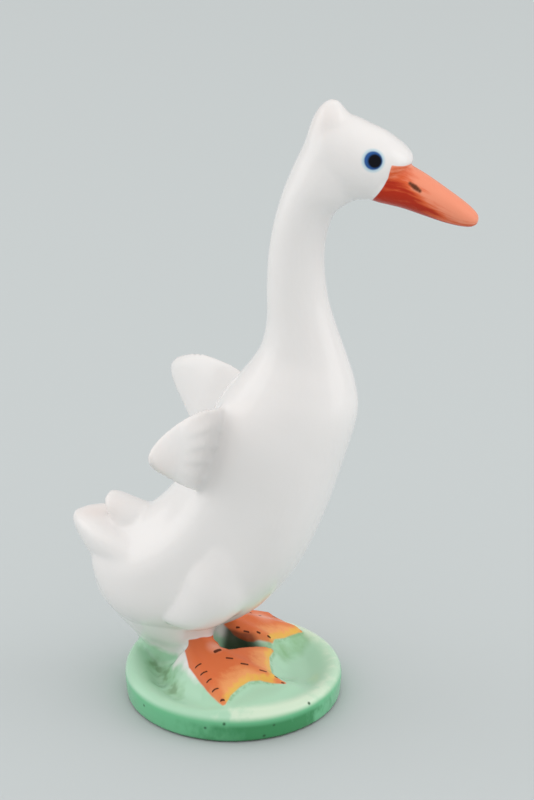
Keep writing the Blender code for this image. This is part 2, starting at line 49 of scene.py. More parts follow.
MM = 0.001
BODY_WIDTH = 27.2
BACK_EDGE = 0.8             # how far the edge between back and flank stands out
EDGE_ANGLE = 20.0           # degrees behind the flank's widest line, where that edge runs
EDGE_SPREAD = 15.0
FLAT_ANGLE = 54.0           # the same for the flatter stretch between the edge and the spine
FLAT_SPREAD = 17.0
BELLY_SWELL = 1.8           # how far the belly swells over the front edges of the thighs
BELLY_ANGLE = 38.0          # degrees ahead of the flank's widest line, where it swells most
BELLY_SPREAD = 24.0
BELLY_SECTION = 6.0         # the row of sections where it swells most
BELLY_REACH = 1.6           # how many rows it takes to fade
NECK_WIDTH = 11.4
HEAD_WIDTH = 15.6
NECK_AXIS = 14.0            # ahead of the base's middle
HEAD_TURN = 12.0            # degrees to the bird's left
STEPS = 6                   # of every smooth curve, from one row to the next

clay = []                   # every form of the casting, joined further below


def flow(rows):
    """Rows of numbers joined by a smooth curve (Catmull-Rom)."""
    curve = []
    last = len(rows) - 1
    for index in range(last):
        before = rows[max(index - 1, 0)]
        start = rows[index]
        end = rows[index + 1]
        after = rows[min(index + 2, last)]
        for step in range(STEPS):
            t = step / STEPS
            curve.append(tuple(
                0.5 * (2.0 * b + (c - a) * t + (2.0 * a - 5.0 * b + 4.0 * c - d) * t * t
                       + (3.0 * b - a - 3.0 * c + d) * t * t * t)
                for a, b, c, d in zip(before, start, end, after)))
    curve.append(tuple(rows[last]))
    return curve


def turned(ahead, aside, height, turn=HEAD_TURN):
    """A place given ahead of the neck's axis and aside of it, on a figure turned about that axis."""
    angle = radians(turn)
    return Vector((NECK_AXIS + ahead * cos(angle) - aside * sin(angle),
                   ahead * sin(angle) + aside * cos(angle), height))


def edges_of(ring):
    """The edges of a ring of points."""
    return list(dict.fromkeys(edge for vertex in ring for edge in vertex.link_edges))


def close_skin(bm, loops, name):
    """Joins loops of edges into a closed skin, and adds it to the clay."""
    for near, far in zip(loops, loops[1:]):
        bmesh.ops.bridge_loops(bm, edges=near + far)
    for end in (loops[0], loops[-1]):
        bmesh.ops.edgeloop_fill(bm, edges=end)
    bmesh.ops.recalc_face_normals(bm, faces=bm.faces)
    form = bpy.data.meshes.new(name)
    bm.to_mesh(form)
    bm.free()
    clay.append(form)


def skin(name, frames, sides, bend=None):
    """A closed skin over elliptical sections, each a centre with its half-width and half-depth vectors.

    The bend moves each point, from its place, its share of the two vectors and its section's number.
    """
    bm = bmesh.new()
    loops = []
    for number, (centre, across, up) in enumerate(frames):
        ring = bmesh.ops.create_circle(bm, segments=sides, radius=1.0)["verts"]
        for vertex in ring:
            u, v = vertex.co.x, vertex.co.y
            place = centre + across * u + up * v
            vertex.co = bend(place, u, v, number) if bend else place
        loops.append(edges_of(ring))
    close_skin(bm, loops, name)


body_half = BODY_WIDTH / 2.0
neck_half = NECK_WIDTH / 2.0
head_half = HEAD_WIDTH / 2.0
# Back point, breast point (ahead, height), half-width, share of the turn, share of the back's edge
body_rows = (
    (-45.0, 31.0, -45.4, 28.0, 0.14 * body_half, 0.0, 0.0),
    (-43.2, 34.8, -43.0, 21.8, 0.48 * body_half, 0.0, 0.0),
    (-38.8, 38.2, -38.4, 15.4, 0.72 * body_half, 0.0, 0.2),
    (-33.4, 40.6, -31.0, 13.2, 0.89 * body_half, 0.0, 0.7),
    (-27.4, 46.6, -20.0, 14.6, 0.97 * body_half, 0.0, 1.0),
    (-23.6, 53.0, -9.4, 20.2, 1.00 * body_half, 0.0, 1.0),
    (-20.6, 59.4, -0.6, 30.6, 0.99 * body_half, 0.1, 0.7),
    (-18.0, 65.0, 5.2, 43.0, 1.05 * body_half, 0.3, 0.3),
    (-15.3, 70.0, 9.4, 56.0, 1.06 * body_half, 0.55, 0.0),
    (-12.1, 74.2, 12.3, 67.0, 0.95 * body_half, 0.8, 0.0),
    (-9.3, 78.0, 11.7, 73.6, 0.80 * body_half, 0.95, 0.0),
    (-7.3, 81.6, 9.8, 80.0, 0.63 * body_half, 1.0, 0.0),
    (-6.2, 87.0, 7.6, 86.4, 1.26 * neck_half, 1.0, 0.0),
    (-6.2, 93.4, 6.0, 92.6, 1.10 * neck_half, 1.0, 0.0),
    (-5.9, 100.6, 5.3, 99.8, 1.00 * neck_half, 1.0, 0.0),
    (-4.9, 107.2, 5.9, 106.0, 1.00 * neck_half, 1.0, 0.0),
    (-3.2, 113.6, 7.8, 110.6, 0.80 * head_half, 1.0, 0.0),
    (-1.0, 119.4, 12.0, 114.0, 0.95 * head_half, 1.0, 0.0),
    (1.2, 124.4, 14.0, 119.6, 0.92 * head_half, 1.0, 0.0),
    (2.3, 128.0, 12.0, 125.4, 0.72 * head_half, 1.0, 0.0),
    (3.8, 131.2, 9.7, 130.3, 0.48 * head_half, 1.0, 0.0),
    (5.9, 133.2, 7.7, 133.0, 0.14 * head_half, 1.0, 0.0),
)
body_path = flow(body_rows)
body_frames = []
for back_s, back_z, front_s, front_z, half_width, turn, _ in body_path:
    back = turned(back_s, 0.0, back_z, HEAD_TURN * turn)
    front = turned(front_s, 0.0, front_z, HEAD_TURN * turn)
    side = turned(back_s, 1.0, back_z, HEAD_TURN * turn) - back
    body_frames.append(((back + front) / 2.0, side * half_width, (front - back) / 2.0))


def back_edge(place, u, v, number):
    """A soft edge along the back, with a flatter stretch between it and the spine, and a swelling belly."""
    angle = degrees(atan2(v, abs(u)))
    edge = exp(-((angle + EDGE_ANGLE) / EDGE_SPREAD) ** 2) - exp(-((angle + FLAT_ANGLE) / FLAT_SPREAD) ** 2)
    along = (number / STEPS - BELLY_SECTION) / BELLY_REACH
    belly = exp(-((angle - BELLY_ANGLE) / BELLY_SPREAD) ** 2 - along ** 2)
    stand_out = BACK_EDGE * body_path[number][6] * edge + BELLY_SWELL * belly
    return place + (place - body_frames[number][0]).normalized() * stand_out


skin("body", body_frames, 96, back_edge)

# Head and bill
# The head is a second swell of the same casting, which runs from the nape to a rounded brow.
# The bill is modelled with it: long, rounded on top, and sloping down to a blunt tip.

BILL_WIDTH = 11.0


def level_sections(rows, half):
    """Upright sections along the turned head, from rows of ahead, top, bottom and share of half the width."""
    sections = []
    for ahead, top, bottom, share in flow(rows):
        side = turned(ahead, 1.0, 0.0) - turned(ahead, 0.0, 0.0)
        sections.append((turned(ahead, 0.0, (top + bottom) / 2.0), side * share * half,
                         Vector((0.0, 0.0, (top - bottom) / 2.0))))
    return sections


# Ahead, top, bottom and share of the half-width
head_rows = (
    (2.0, 124.6, 117.0, 0.40),
    (5.0, 130.2, 114.2, 0.86),
    (10.0, 130.0, 113.2, 1.00),
    (14.4, 128.1, 113.6, 0.97),
    (17.0, 126.9, 115.4, 0.86),
    (19.4, 125.2, 118.4, 0.70),
    (21.2, 123.7, 120.0, 0.48),
    (22.4, 122.3, 121.0, 0.18),
)
bill_rows = (
    (12.0, 119.5, 114.2, 0.80),
    (15.5, 121.0, 113.0, 1.08),
    (18.0, 121.1, 112.4, 1.06),
    (21.0, 120.5, 111.6, 0.95),
    (25.0, 118.4, 110.2, 0.80),
    (29.0, 115.7, 108.9, 0.67),
    (32.6, 113.1, 108.2, 0.56),
    (34.7, 111.3, 108.3, 0.36),
    (35.5, 110.3, 109.2, 0.12),
)
skin("head", level_sections(head_rows, head_half), 64)
skin("bill", level_sections(bill_rows, BILL_WIDTH / 2.0), 48)

# Tail
# The rump runs up into a thick blade, hollowed on top because its sides are curled up.
# One curled feather stands on it, luted on before the firing.

TAIL_WIDTH = 22.0
TAIL_CURL = 3.0             # how far the sides are raised over the middle
LEVEL_SHARE = 0.35          # where across the blade, squared, the curl neither raises nor lowers it
CURL_WIDTH = 9.0

tail_half = TAIL_WIDTH / 2.0
# x, height, half-width, half-thickness and curl
tail_rows = (
    (-12.0, 33.0, 0.98 * tail_half, 8.0, 0.2),
    (-18.0, 30.8, 1.00 * tail_half, 7.0, 0.7),
    (-24.0, 31.4, 0.88 * tail_half, 6.6, 1.0),
    (-29.4, 33.0, 0.66 * tail_half, 5.6, 0.9),
    (-33.4, 34.8, 0.38 * tail_half, 3.5, 0.5),
    (-35.6, 36.0, 0.12 * tail_half, 1.3, 0.0),
)
tail_path = flow(tail_rows)


def tail_hollow(place, u, v, number):
    """Raises the blade's sides."""
    return place + Vector((0.0, 0.0, TAIL_CURL * tail_path[number][4] * (u * u - LEVEL_SHARE)))


skin("tail", [(Vector((x, 0.0, z)), Vector((0.0, width, 0.0)), Vector((0.0, 0.0, thickness)))
              for x, z, width, thickness, _ in tail_path], 64, tail_hollow)

curl_half = CURL_WIDTH / 2.0
curl_rise = Vector((0.45, 0.0, 0.9))
# x, height, half-width and half-thickness
curl_rows = (
    (-13.0, 35.0, 1.1 * curl_half, 4.0),
    (-19.0, 37.0, 1.1 * curl_half, 3.8),
    (-23.6, 38.8, 1.0 * curl_half, 3.2),
    (-26.6, 40.7, 0.80 * curl_half, 2.2),
    (-27.9, 42.1, 0.36 * curl_half, 1.0),
)
skin("tail_curl", [(Vector((x, 0.0, z)), Vector((0.0, across, 0.0)), curl_rise * thickness)
                   for x, z, across, thickness in flow(curl_rows)], 40)

# Wings
# Two small thick wings, held out and back, pressed in moulds of their own and luted to the shoulders.
# Soft feather ridges run out from the root on the outer faces and fade towards the tip.

WING_THICKNESS = 3.6
WING_SPAN = 51.0
FEATHERS = 5
FEATHER_RIDGE = 0.6
FEATHER_SECTION = 2.2       # the row of sections where the ridges stand out most
FEATHER_REACH = 1.5         # how many rows they take to fade
WING_OFFSET = 1.2           # how far the right wing is set ahead of the middle, and the left one behind it
WING_SINK = 8.2             # how much deeper the right wing's root is let into the flank
SINK_WAY = (-0.28, 0.87, -0.40)
SINK_START = 0.44           # where that starts and stops fading, as shares of the reach
SINK_END = 0.78
OUTWARD = (-0.55, 0.8)      # the way the outer faces look: ahead, aside


def smooth_step(value, low, high):
    """Rises softly from 0 at low to 1 at high."""
    share = np.clip((value - low) / (high - low), 0.0, 1.0)
    return share * share * (3.0 - 2.0 * share)


wing_reach = WING_SPAN / 2.0
# Leading and trailing point (ahead, aside as a share of the reach, height), and share of the thickness
wing_rows = (
    (-6.5, 0.22, 69.0, -13.0, 0.22, 49.0, 1.10),
    (-11.5, 0.40, 71.6, -17.6, 0.42, 51.0, 1.10),
    (-16.3, 0.53, 72.6, -20.6, 0.56, 54.0, 1.05),
    (-20.2, 0.67, 72.2, -22.8, 0.69, 56.8, 0.95),
    (-23.6, 0.80, 70.8, -25.0, 0.81, 59.8, 0.85),
    (-26.4, 0.92, 68.8, -26.8, 0.92, 62.4, 0.70),
    (-27.9, 1.00, 66.6, -27.8, 1.00, 64.8, 0.35),
)
for side in (1.0, -1.0):
    ahead = -side * WING_OFFSET
    higher = ahead / 2.0
    outward = turned(OUTWARD[0], side * OUTWARD[1], 0.0) - turned(0.0, 0.0, 0.0)
    inward = Vector(SINK_WAY) * (WING_SINK if side < 0.0 else 0.0)
    wing_frames = []
    for lead_s, lead_a, lead_z, trail_s, trail_a, trail_z, thickness in flow(wing_rows):
        sink = inward * (1.0 - smooth_step(lead_a, SINK_START, SINK_END))
        lead = turned(lead_s + ahead, side * lead_a * wing_reach, lead_z + higher) + sink
        trail = turned(trail_s + ahead, side * trail_a * wing_reach, trail_z + higher) + sink
        chord = (lead - trail) / 2.0
        normal = chord.cross(outward).normalized()
        wing_frames.append(((lead + trail) / 2.0, chord, normal * thickness * WING_THICKNESS / 2.0))

    def feather(place, u, v, number):
        """Grooves between the feathers on the outer face, deepest near the root."""
        fade = max(0.0, 1.0 - abs(number / STEPS - FEATHER_SECTION) / FEATHER_REACH)
        wave = 0.5 - 0.5 * cos(pi * FEATHERS * (u + 1.0))
        depth = FEATHER_RIDGE * fade * wave * v if side * v < 0.0 else 0.0
        return place - wing_frames[number][2].normalized() * depth

    skin("wing", wing_frames, 96, feather)

# Thighs, legs and support
# The thighs swell out of the flanks and end in pointed hocks. Below the belly the clay runs down into two
# short legs and a broad support under the rump, which keeps the tall bird from tipping in the kiln.

THIGH_WIDTH = 15.4
THIGH_ACROSS = 0.95         # a thigh's section, as shares of its radius
THIGH_UP = 1.15

thigh_half = THIGH_WIDTH / 2.0
# x, aside, height, radius
thigh_rows = (
    (-12.3, 9.4, 20.0, 0.09 * thigh_half),
    (-10.2, 9.7, 21.2, 0.32 * thigh_half),
    (-5.2, 9.9, 24.0, 0.64 * thigh_half),
    (-1.0, 9.5, 28.8, 0.84 * thigh_half),
    (0.8, 9.3, 34.4, 0.80 * thigh_half),
    (2.2, 9.3, 39.8, 0.63 * thigh_half),
    (3.6, 8.4, 44.6, 0.30 * thigh_half),
)
thigh_path = flow(thigh_rows)
for side in (1.0, -1.0):
    thigh_frames = []
    for index, (x, aside, z, radius) in enumerate(thigh_path):
        before = thigh_path[max(index - 1, 0)]
        after = thigh_path[min(index + 1, len(thigh_path) - 1)]
        run_x, run_y, run_z = (end - start for start, end in zip(before[:3], after[:3]))
        along = Vector((run_x, side * run_y, run_z)).normalized()
        across = along.cross(Vector((0.0, 0.0, 1.0))).normalized()
        up = across.cross(along)
        thigh_frames.append((Vector((x, side * aside, z)), across * radius * THIGH_ACROSS,
                             up * radius * THIGH_UP))
    skin("thigh", thigh_frames, 48)

# x, y, height, half-length, half-width and the turn of the section in degrees
right_leg_rows = (
    (-7.0, -2.6, 22.0, 6.4, 5.2, 0.0),
    (-7.4, -2.2, 17.0, 5.2, 4.4, 0.0),
    (-7.7, -1.8, 13.4, 3.8, 3.4, 0.0),
    (-8.0, -1.6, 9.0, 3.8, 3.4, 0.0),
    (-8.3, -1.4, 4.0, 4.6, 4.2, 0.0),
)
left_leg_rows = (
    (-4.0, 9.0, 20.0, 4.6, 4.0, 0.0),
    (-4.8, 9.2, 15.0, 3.6, 3.0, 0.0),
    (-5.6, 9.4, 11.0, 3.6, 3.2, 0.0),
    (-6.0, 9.4, 6.0, 4.4, 4.0, 0.0),
)
support_rows = (
    (-16.5, 0.4, 27.0, 15.0, 12.0, -8.0),
    (-16.6, 0.6, 21.5, 14.3, 11.4, -10.0),
    (-16.2, 1.0, 16.5, 12.5, 9.0, -15.0),
    (-15.7, 1.6, 12.5, 10.4, 7.0, -20.0),
    (-15.4, 1.8, 9.0, 7.9, 4.7, -16.0),
    (-14.6, 2.0, 5.5, 6.8, 4.7, -16.0),
    (-14.4, 2.2, 2.5, 6.6, 5.2, -16.0),
)
for rows in (right_leg_rows, left_leg_rows, support_rows):
    sections = []
    for x, y, z, long_half, wide_half, turn in flow(rows):
        angle = radians(turn)
        sections.append((Vector((x, y, z)), Vector((cos(angle), sin(angle), 0.0)) * long_half,
                         Vector((-sin(angle), cos(angle), 0.0)) * wide_half))
    skin("leg", sections, 64)

# Base, ground and feet
# A round base with a raised rim, and on it modelled ground and two webbed feet, all pressed in one mould.
# Underneath is an unglazed foot ring round a shallow recess, with a vent for the steam of the firing.

TOE_MARGIN = 3.55           # from the farthest toe tip to the edge of the base
WALL_HEIGHT = 6.2
BACK_RISE = 1.6             # how much higher the wall stands behind the bird on its right
RISE_BEARING = 165.0        # degrees from straight ahead, where it stands highest
WALL_TAPER = 0.3
RIM_WIDTH = 3.0
FALL_START = 0.6            # where the rim starts and stops falling to the dish, in widths of the rim
FALL_END = 2.6
DISH_DEPTH = 2.0
FOOT_RING_WIDTH = 2.6
RECESS_DEPTH = 0.8
VENT_DIAMETER = 4.2
VENT_DEPTH = 9.0
HEEL_HEIGHT = 12.8          # of a foot's top where its leg stands on it
TOE_HEIGHT = 7.0            # of the toe tips
SLOPE_POWER = 1.15          # above 1 a foot's slope steepens towards its toes
TOE_RIDGE = 0.45            # how far a toe stands out of the web
TOE_SPREAD = 1.2            # how far beside a toe's middle its ridge fades
FOOT_SHOW = 0.9             # how far a foot's edge stands over the ground
FOOT_ROUND = 0.5            # how far the edge itself is rounded down
MOUND_REACH = 3.4           # how far beside a foot the ground takes to fall to the dish
VALLEY_DEPTH = 1.5          # of the hollow beside the right foot
VALLEY_REACH = 2.6
PIT_DEPTH = 3.6             # of the hollow between the feet
PIT_REACH = 2.6
PIT_SHARE = 0.8             # how much of the mounds' height it takes at most
APRON_HEIGHT = 7.0          # of the ground that rises to the front edge of the right web
APRON_REACH = 4.5
MOUND_BLEND = 8.0           # the higher, the sharper the valleys where mounds meet

# Each foot: the middle of its heel, its outline (anticlockwise), its toes (root to tip) and the front edge of
# its web.
FEET = (
    {"heel": (-5.6, -3.9), "length": 19.4,
     "outline": ((-8.5, -6.2), (-5.8, -11.1), (-2.5, -14.2), (1.1, -17.1), (4.3, -19.0), (4.4, -15.6),
                 (5.4, -12.2), (6.6, -9.6), (8.6, -7.9), (10.9, -7.5), (13.6, -6.4), (9.7, -4.3), (8.5, -2.0),
                 (7.2, 1.6), (7.0, 5.2), (4.6, 3.0), (2.2, -0.4), (0.2, -3.6), (-1.4, -3.8), (-3.0, -1.2),
                 (-6.2, -3.0)),
     "toes": (((-7.4, -7.0), (4.0, -18.4)), ((-5.0, -5.4), (13.2, -6.5)), ((-0.6, -4.4), (6.8, 4.8))),
     "web": ((4.4, -17.5), (4.4, -15.6), (5.4, -12.2), (6.6, -9.6), (8.6, -7.9), (10.9, -7.2), (9.7, -4.3),
             (8.5, -2.0), (7.2, 1.6), (7.1, 4.4))},
    {"heel": (-4.2, 9.0), "length": 16.5,
     "outline": ((-6.2, 7.4), (-3.4, 6.4), (-0.6, 5.1), (1.1, 4.9), (3.5, 6.3), (6.2, 7.2), (6.1, 8.8),
                 (7.6, 11.1), (8.6, 14.4), (9.7, 17.5), (5.6, 18.2), (1.6, 19.4), (-2.2, 16.0), (-5.4, 12.0)),
     "toes": (((-4.6, 7.6), (6.0, 7.4)), ((-3.6, 9.6), (9.4, 17.3)), ((-5.0, 11.4), (1.4, 19.0))),
     "web": ((6.1, 7.8), (6.1, 8.8), (7.6, 11.1), (8.6, 14.4), (9.3, 16.8))},
)
# Along the bottoms of the two hollows, and round the apron
VALLEY = ((-20.6, 0.4), (-17.0, -4.4), (-13.0, -10.0))
PIT = ((-1.8, 1.2), (0.8, 2.8))
APRON = ((4.0, -14.0), (5.2, -18.6), (9.0, -16.0), (12.5, -11.6), (13.6, -6.4), (9.0, -8.4))

base_radius = TOE_MARGIN + max(hypot(*tip) for foot in FEET for _, tip in foot["toes"])


def gap_to_line(x, y, corners):
    """The distance to a line through the corners."""
    nearest = np.full(np.shape(x), 1.0e6)
    for (ax, ay), (bx, by) in zip(corners, corners[1:]):
        run_x, run_y = bx - ax, by - ay
        along = np.clip(((x - ax) * run_x + (y - ay) * run_y) / (run_x ** 2 + run_y ** 2), 0.0, 1.0)
        nearest = np.minimum(nearest, np.hypot(x - ax - along * run_x, y - ay - along * run_y))
    return nearest


def within(x, y, corners):
    """How far a place lies inside a closed outline; outside it the distance is negative."""
    closed = tuple(corners) + (corners[0],)
    inside = np.zeros(np.shape(x), bool)
    for (ax, ay), (bx, by) in zip(closed, closed[1:]):
        crosses = (ay > y) != (by > y)
        reach = ax + (bx - ax) * (y - ay) / (by - ay if by != ay else 1.0)
        inside ^= crosses & (x < reach)
    gap = gap_to_line(x, y, closed)
    return np.where(inside, gap, -gap)


def foot_slope(x, y, foot):
    """The slope of a foot from its heel down to its toe tips."""
    reach = np.clip(np.hypot(x - foot["heel"][0], y - foot["heel"][1]) / foot["length"], 0.0, 1.1)
    return HEEL_HEIGHT + (TOE_HEIGHT - HEEL_HEIGHT) * reach ** SLOPE_POWER


def foot_top(x, y, foot):
    """The height of a foot's upper side, with a ridge along each toe."""
    ridge = sum(np.exp(-(gap_to_line(x, y, toe) / TOE_SPREAD) ** 2) for toe in foot["toes"])
    return foot_slope(x, y, foot) + TOE_RIDGE * np.minimum(ridge, 1.0)


def wall_top(angle):
    """The height of the rim, which rises behind the bird on its right."""
    return WALL_HEIGHT + BACK_RISE * np.maximum(0.0, np.cos(angle - radians(RISE_BEARING))) ** 2


def ground(x, y):
    """The modelled ground inside the rim: a dish with two hollows, and a soft mound under each foot."""
    from_middle = np.hypot(x, y)
    fall_end = base_radius - FALL_END * RIM_WIDTH
    sunk = 1.0 - smooth_step(from_middle, fall_end, base_radius - FALL_START * RIM_WIDTH)
    dish = wall_top(np.arctan2(y, x)) - DISH_DEPTH * sunk
    dish = dish - VALLEY_DEPTH * sunk * np.exp(-(gap_to_line(x, y, VALLEY) / VALLEY_REACH) ** 2)
    off_apron = np.maximum(0.0, -within(x, y, APRON))
    rise = np.maximum(0.0, APRON_HEIGHT - dish)
    lift = (rise * np.exp(-(off_apron / APRON_REACH) ** 2)) ** MOUND_BLEND
    for foot in FEET:
        beside = np.maximum(0.0, -within(x, y, foot["outline"]))
        rise = np.maximum(0.0, foot_slope(x, y, foot) - FOOT_SHOW - dish)
        lift = lift + (rise * np.exp(-(beside / MOUND_REACH) ** 2)) ** MOUND_BLEND
    lift = lift ** (1.0 / MOUND_BLEND)
    pit = PIT_DEPTH * np.exp(-(gap_to_line(x, y, PIT) / PIT_REACH) ** 2)
    return dish + lift - np.minimum(pit, PIT_SHARE * lift)


def surface(x, y):
    """The ground with the feet on it, whose edges are rounded."""
    height = ground(x, y)
    for foot in FEET:
        inside = within(x, y, foot["outline"])
        top = foot_top(x, y, foot) - FOOT_ROUND * (1.0 - smooth_step(inside, -0.1, 0.7))
        height = np.where(inside > -0.15, np.maximum(height, top), height)
    return height


BASE_SIDES = 240
GROUND_RINGS = 64
bm = bmesh.new()
recess_radius = base_radius - WALL_TAPER - FOOT_RING_WIDTH
vent_radius = VENT_DIAMETER / 2.0
# Radius, and height or share of the wall's height, from the vent's roof out to the rim.
# The rings that follow them, in over the ground, take their height from the modelled surface.
base_rows = [
    (0.9 * vent_radius, VENT_DEPTH, None),
    (vent_radius, VENT_DEPTH - 0.6, None),
    (vent_radius, 3.0, None),
    (vent_radius, RECESS_DEPTH, None),
    (0.6 * recess_radius, RECESS_DEPTH, None),
    (recess_radius - 0.4, RECESS_DEPTH, None),
    (recess_radius, 0.0, None),
    (base_radius - WALL_TAPER - 0.4, 0.0, None),
    (base_radius - WALL_TAPER, None, 0.06),
    (base_radius - 0.35 * WALL_TAPER, None, 0.35),
    (base_radius, None, 0.70),
    (base_radius - 0.2, None, 0.84),
    (base_radius - 0.7, None, 0.94),
    (base_radius - 0.45 * RIM_WIDTH, None, 0.99),
]
rim_inside = base_radius - FALL_START * RIM_WIDTH
base_rows += [(rim_inside * (1.0 - ring / GROUND_RINGS), None, None) for ring in range(GROUND_RINGS)]
loops = []
for reach, height, share in base_rows:
    ring = bmesh.ops.create_circle(bm, segments=BASE_SIDES, radius=reach)["verts"]
    around_x = np.array([vertex.co.x for vertex in ring])
    around_y = np.array([vertex.co.y for vertex in ring])
    if share is not None:
        heights = share * wall_top(np.arctan2(around_y, around_x))
    elif height is not None:
        heights = np.full(BASE_SIDES, height)
    else:
        heights = surface(around_x, around_y)
    for vertex, level in zip(ring, heights):
        vertex.co.z = level
    loops.append(edges_of(ring))
close_skin(bm, loops, "base")

# The joined casting
# The clay forms are luted together and the seams sponged smooth, and the glaze rounds every corner further.
# Joints between large forms are softened most, feather ridges and toes least.

SKIN_STEP = 0.49            # size of the mesh's cells
SOFTENING = 59              # rounds of smoothing where a joint is softened fully
SOFT_ALL = 0.037            # share of it that every surface gets
SOFT_CORE = 0.4             # share of a joint's reach within which it is softened evenly

# Where joints are softened: a place, how far round it, and how much
joints = [
    (turned(8.0, 0.0, 130.0), 6.0, 0.37),           # crest and brow
    (turned(10.0, 0.0, 112.0), 7.0, 0.30),          # throat
    (Vector((-24.0, 0.0, 26.0)), 12.0, 0.33),       # rump and tail
    (Vector((-16.0, 0.0, 40.0)), 9.0, 0.6),
    (Vector((-25.5, -1.0, 36.8)), 6.0, 0.8),        # curled feather
    (Vector((-14.0, 2.0, 15.0)), 11.0, 0.37),       # support and legs
    (Vector((-7.0, -4.0, 16.0)), 7.0, 0.33),
    (Vector((-4.0, 9.0, 16.0)), 6.0, 0.33),
    (Vector((1.2, -9.5, 69.0)), 6.0, 0.9),          # right wing's root
    (Vector((1.3, -10.5, 62.5)), 6.5, 0.9),
    (Vector((0.8, -11.0, 55.0)), 6.0, 0.9),
]
for side in (-1.0, 1.0):
    joints += [
        (turned(3.0, side * 5.0, 124.0), 7.0, 0.37),        # nape
        (turned(8.5, side * 6.5, 115.5), 6.0, 0.8),         # cheek
        (Vector((-20.0, side * 8.0, 32.0)), 8.0, 0.33),     # tail and flank
        (Vector((-18.5, side * 10.5, 36.0)), 8.0, 1.0),
        (Vector((8.0, side * 12.0, 42.0)), 9.0, 0.6),       # front of the thigh
        (Vector((6.0, side * 9.0, 28.0)), 9.0, 1.0),
        (Vector((8.0, side * 9.5, 34.0)), 9.0, 1.0),
    ]

bm = bmesh.new()
for form in clay:
    bm.from_mesh(form)
joined = bpy.data.meshes.new("duck")
bm.to_mesh(joined)
bm.free()
duck = bpy.data.objects.new("duck", joined)
bpy.context.scene.collection.objects.link(duck)
remesh = duck.modifiers.new("Luting", 'REMESH')
remesh.mode = 'VOXEL'
remesh.voxel_size = SKIN_STEP


def fire(piece):
    """Makes the piece's modifiers permanent."""
    depsgraph = bpy.context.evaluated_depsgraph_get()
    done = bpy.data.meshes.new_from_object(piece.evaluated_get(depsgraph))
    piece.modifiers.clear()
    piece.data = done


def skin_places():
    """The places of the skin's points, one in a row."""
    points = np.empty(len(duck.data.vertices) * 3)
    duck.data.vertices.foreach_get("co", points)
    return points.reshape(-1, 3)


fire(duck)
places = skin_places()
weights = np.full(len(places), SOFT_ALL)
for centre, reach, amount in joints:
    gap = np.linalg.norm(places - np.array(centre), axis=1)
    near = 1.0 - smooth_step(gap, SOFT_CORE * reach, reach)
    weights = np.maximum(weights, SOFT_ALL + (amount - SOFT_ALL) * near)
group = duck.vertex_groups.new(name="sponged")
for index, weight in enumerate(weights):
    group.add((index,), float(weight), 'REPLACE')
smoothing = duck.modifiers.new("Sponging", 'SMOOTH')
smoothing.factor = 0.5
smoothing.iterations = SOFTENING
smoothing.vertex_group = group.name
fire(duck)
duck.vertex_groups.clear()

# Paint and glaze
# A clear glossy glaze over white porcelain. Green glaze pools in the hollows of the ground and runs down the
# wall; bill and feet are brushed in orange, with yellow along the webs and brown dashes on the toes.
# Where each colour lies is stored on the skin's points, and the glaze's nodes read it from there.

NOT_HERE = -5.0             # stored where a paint is out of the question
FAR_OFF = 9.0               # stored where a line is out of reach
PIT_SHADE = ((-2.6, -1.6), (-1.1, -4.2), (1.6, -1.6), (4.6, 5.0), (1.0, 7.0), (-1.0, 9.6), (-2.8, 8.6),
             (-4.0, 6.6), (-3.6, 1.8))
VALLEY_RUN = ((-16.5, -3.6), (-12.7, -8.0), (-9.1, -13.0), (-7.0, -15.5))
VALLEY_TOP = 9.0            # above it the skin belongs to the bird
PAINT_OVER = 0.7            # how far above and below a foot's top its orange reaches
PAINT_UNDER = 1.2
# The green glaze's upper edge on legs and support: x, and the height there
EDGE_X = (-24.0, -13.0, -10.5, -8.5)
EDGE_HEIGHT = (9.8, 7.7, 7.6, 9.2)
EDGE_SLOPE = 0.7            # how far the glaze thickens for each millimetre below its edge
HOLLOW_REACH = 1.6          # how far round a place the ground is compared with it
HOLLOW_START = -12.0        # the glaze pools from this x on, and fully from the next
HOLLOW_FULL = -4.0

places = skin_places()
x, y, z = places.T


def store(name, values):
    """Keeps a value for each point of the skin, which the glaze reads."""
    layer = duck.data.attributes.new(name, 'FLOAT', 'POINT')
    layer.data.foreach_set("value", np.asarray(values, float))


from_middle = np.hypot(x, y)
green_glaze = EDGE_SLOPE * (np.interp(x, EDGE_X, EDGE_HEIGHT) - z)
store("green_glaze", np.where(from_middle < base_radius + 1.0, green_glaze, NOT_HERE))
# The pit between the feet, where the shade under the belly is painted in
pit = smooth_step(within(x, y, PIT_SHADE), -1.7, 1.6) * (1.0 - smooth_step(z, 11.4, 13.4))
store("pit", pit)
# The left foot's inner part, browned with painted shade under the belly
store("belly_shade", pit * smooth_step(y, 2.0, 4.5) * (1.0 - smooth_step(z, 10.2, 11.6)))
store("valley", np.where(z < VALLEY_TOP, gap_to_line(x, y, VALLEY_RUN), FAR_OFF))
around = sum(ground(x + HOLLOW_REACH * cos(bearing), y + HOLLOW_REACH * sin(bearing))
             for bearing in np.arange(8) * pi / 4.0) / 8.0
hollow = (around - ground(x, y)) * smooth_step(x, HOLLOW_START, HOLLOW_FULL)
store("hollow", np.where(from_middle < base_radius - RIM_WIDTH, hollow, 0.0))

foot_paint = np.full(len(x), NOT_HERE)
web_gap = np.full(len(x), FAR_OFF)
toe_gap = np.full(len(x), FAR_OFF)
for foot in FEET:
    over = z - foot_top(x, y, foot)
    inside = within(x, y, foot["outline"])
    on_foot = np.minimum(np.minimum(inside, over + PAINT_UNDER), PAINT_OVER - over)
    foot_paint = np.maximum(foot_paint, on_foot)
    web_gap = np.minimum(web_gap, gap_to_line(x, y, foot["web"]))
    for toe in foot["toes"]:
        toe_gap = np.minimum(toe_gap, gap_to_line(x, y, toe))
store("foot_paint", foot_paint)
store("web_gap", web_gap)
store("toe_gap", toe_gap)

ahead = (x - NECK_AXIS) * cos(radians(HEAD_TURN)) + y * sin(radians(HEAD_TURN))
